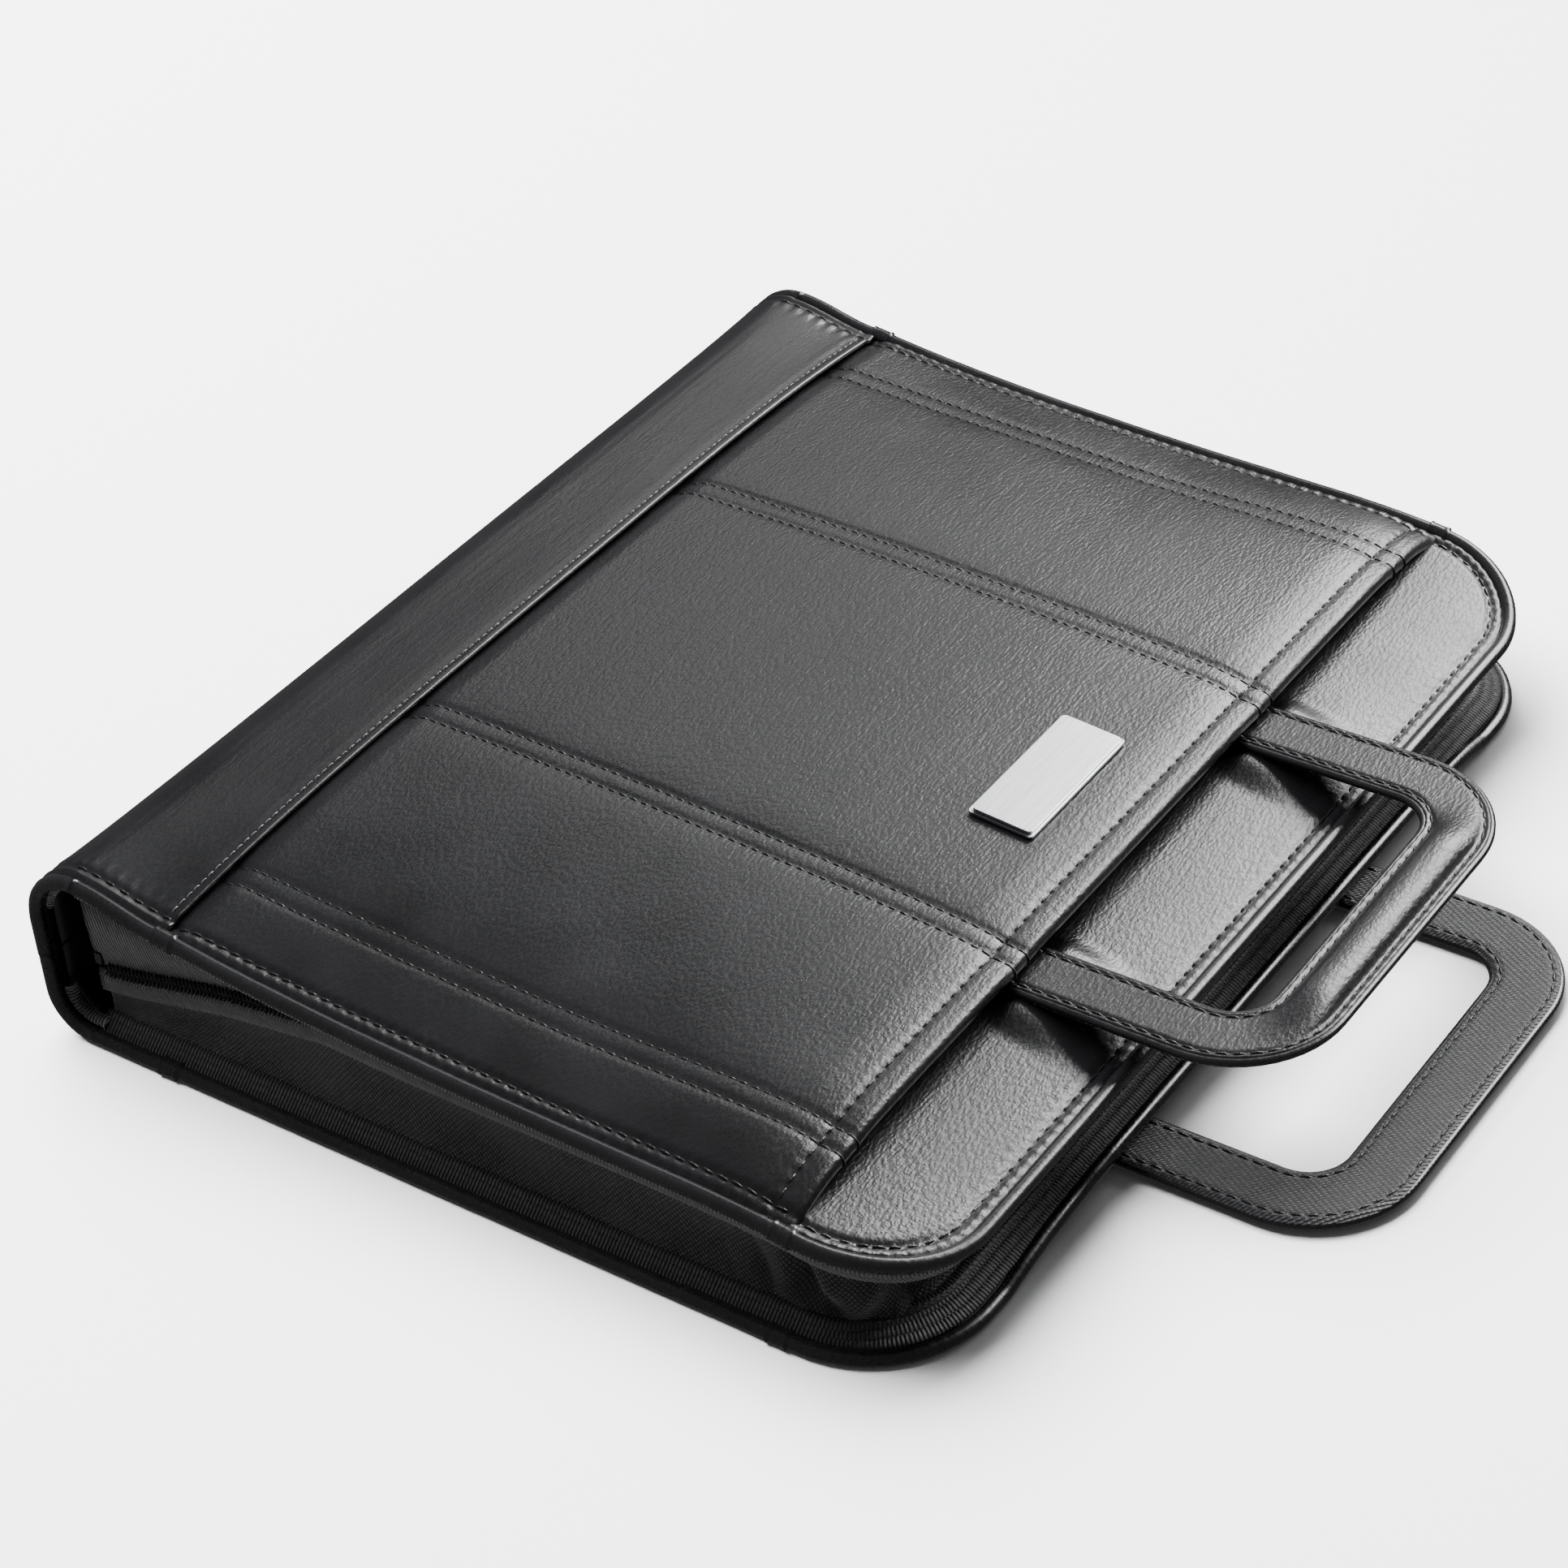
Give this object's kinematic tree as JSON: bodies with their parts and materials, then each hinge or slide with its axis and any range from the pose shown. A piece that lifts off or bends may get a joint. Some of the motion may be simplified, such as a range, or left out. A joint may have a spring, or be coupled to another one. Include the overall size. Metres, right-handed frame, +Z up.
{
  "type": "portfolio case",
  "caption": "Zip-round leather-look portfolio case with a boxy spine, cloth gusset, sliding carrying handles in cover pockets and a ring mechanism inside.",
  "frame": {"origin": "middle of the flat outer face of the back cover's pocket panel, on which the case lies", "axes": "+X from the spine to the opening edge, +Y along the spine, +Z up through the thickness"},
  "size_m": [0.3539, 0.35, 0.0588],
  "materials": {
    "leather": "black pebbled leather-look polyurethane, satin",
    "spine_leather": "smoother black leather-look polyurethane, semi-gloss",
    "piping": "black piping and folded edges, semi-gloss",
    "nylon": "black plain woven nylon",
    "handle_cloth": "dark grey twill nylon",
    "tape": "black ribbed grosgrain and herringbone zip tape",
    "coil": "black moulded nylon zip coil",
    "foam": "grey closed-cell foam",
    "board": "grey-brown bookbinding board",
    "badge_steel": "brushed plate",
    "nickel": "nickel-plated steel"
  },
  "bodies": {
    "back_cover": {"back_flap": "spine_leather", "back_pocket_panel": "leather", "back_pocket_hem": "piping", "back_base_panel": "leather", "back_board": "board", "back_lining": "nylon", "back_piping": "piping", "back_edge_binding": "tape", "gusset": "nylon", "lower_zip_tape": "tape", "lower_coil": "coil", "zip_stop_near": "nickel", "zip_stop_far": "nickel", "ring_housing": "nickel", "rivet_near": "nickel", "rivet_far": "nickel"},
    "spine": {"spine_leather": "spine_leather", "spine_board": "board", "spine_lining": "nylon", "spine_piping_near": "piping", "spine_piping_far": "piping"},
    "front_cover": {"front_flap": "spine_leather", "front_pocket_panel": "leather", "front_pocket_padding": "foam", "front_base_panel": "leather", "front_board": "board", "front_lining": "nylon", "inner_pocket": "nylon", "front_piping": "piping", "front_pocket_hem": "piping", "front_edge_binding": "tape", "badge_backing": "badge_steel", "badge_plate": "badge_steel", "upper_zip_tape": "tape", "upper_coil": "coil"},
    "front_handle": {"front_handle_lining": "handle_cloth", "front_handle_stop_strap": "tape", "front_handle_leather": "leather", "front_handle_grip_padding": "foam", "front_handle_piping_outer": "piping", "front_handle_piping_inner": "piping"},
    "back_handle": {"back_handle_lining": "handle_cloth", "back_handle_stop_strap": "tape", "back_handle_leather": "leather", "back_handle_grip_padding": "foam", "back_handle_piping_outer": "piping", "back_handle_piping_inner": "piping"},
    "slider": {"zip_slider": "nickel"},
    "puller": {"zip_puller": "nickel"},
    "ring_left": {"ring_halves_left": "nickel"},
    "ring_right": {"ring_halves_right": "nickel"},
    "lever_near": {"ring_lever_near": "nickel"},
    "lever_far": {"ring_lever_far": "nickel"}
  },
  "joints": [
    {"name": "spine_fold", "type": "hinge", "parent": "back_cover", "child": "spine", "pos_m": [-0.1383, 0, 0.0042], "axis": [0, -1, 0], "range_deg": [0, 90]},
    {"name": "cover_open", "type": "hinge", "parent": "spine", "child": "front_cover", "pos_m": [-0.1383, 0, 0.0546], "axis": [0, -1, 0], "range_deg": [0, 90]},
    {"name": "front_handle_slide", "type": "slide", "parent": "front_cover", "child": "front_handle", "axis": [1, 0, 0], "range_m": [-0.04, 0.026]},
    {"name": "back_handle_slide", "type": "slide", "parent": "back_cover", "child": "back_handle", "axis": [1, 0, 0], "range_m": [-0.066, 0]},
    {"name": "zip_slide", "type": "slide", "parent": "back_cover", "child": "slider", "axis": [0.9903, 0, 0.1386], "range_m": [0, 0.045]},
    {"name": "puller_swing", "type": "hinge", "parent": "slider", "child": "puller", "pos_m": [-0.1164, 0.1726, 0.0295], "axis": [0.9903, 0, 0.1386], "range_deg": [0, 110]},
    {"name": "ring_open_left", "type": "hinge", "parent": "back_cover", "child": "ring_left", "pos_m": [-0.11, 0, 0.0121], "axis": [0, -1, 0], "range_deg": [0, 20]},
    {"name": "ring_open_right", "type": "hinge", "parent": "back_cover", "child": "ring_right", "pos_m": [-0.098, 0, 0.0121], "axis": [0, 1, 0], "range_deg": [0, 20]},
    {"name": "lever_press_near", "type": "hinge", "parent": "back_cover", "child": "lever_near", "pos_m": [-0.104, -0.14, 0.0113], "axis": [1, 0, 0], "range_deg": [0, 30]},
    {"name": "lever_press_far", "type": "hinge", "parent": "back_cover", "child": "lever_far", "pos_m": [-0.104, 0.14, 0.0113], "axis": [-1, 0, 0], "range_deg": [0, 30]}
  ],
  "couplings": [
    {"joint": "ring_open_right", "follows": "ring_open_left", "ratio": 1},
    {"joint": "lever_press_near", "follows": "ring_open_left", "ratio": 1.5},
    {"joint": "lever_press_far", "follows": "ring_open_left", "ratio": 1.5}
  ]
}
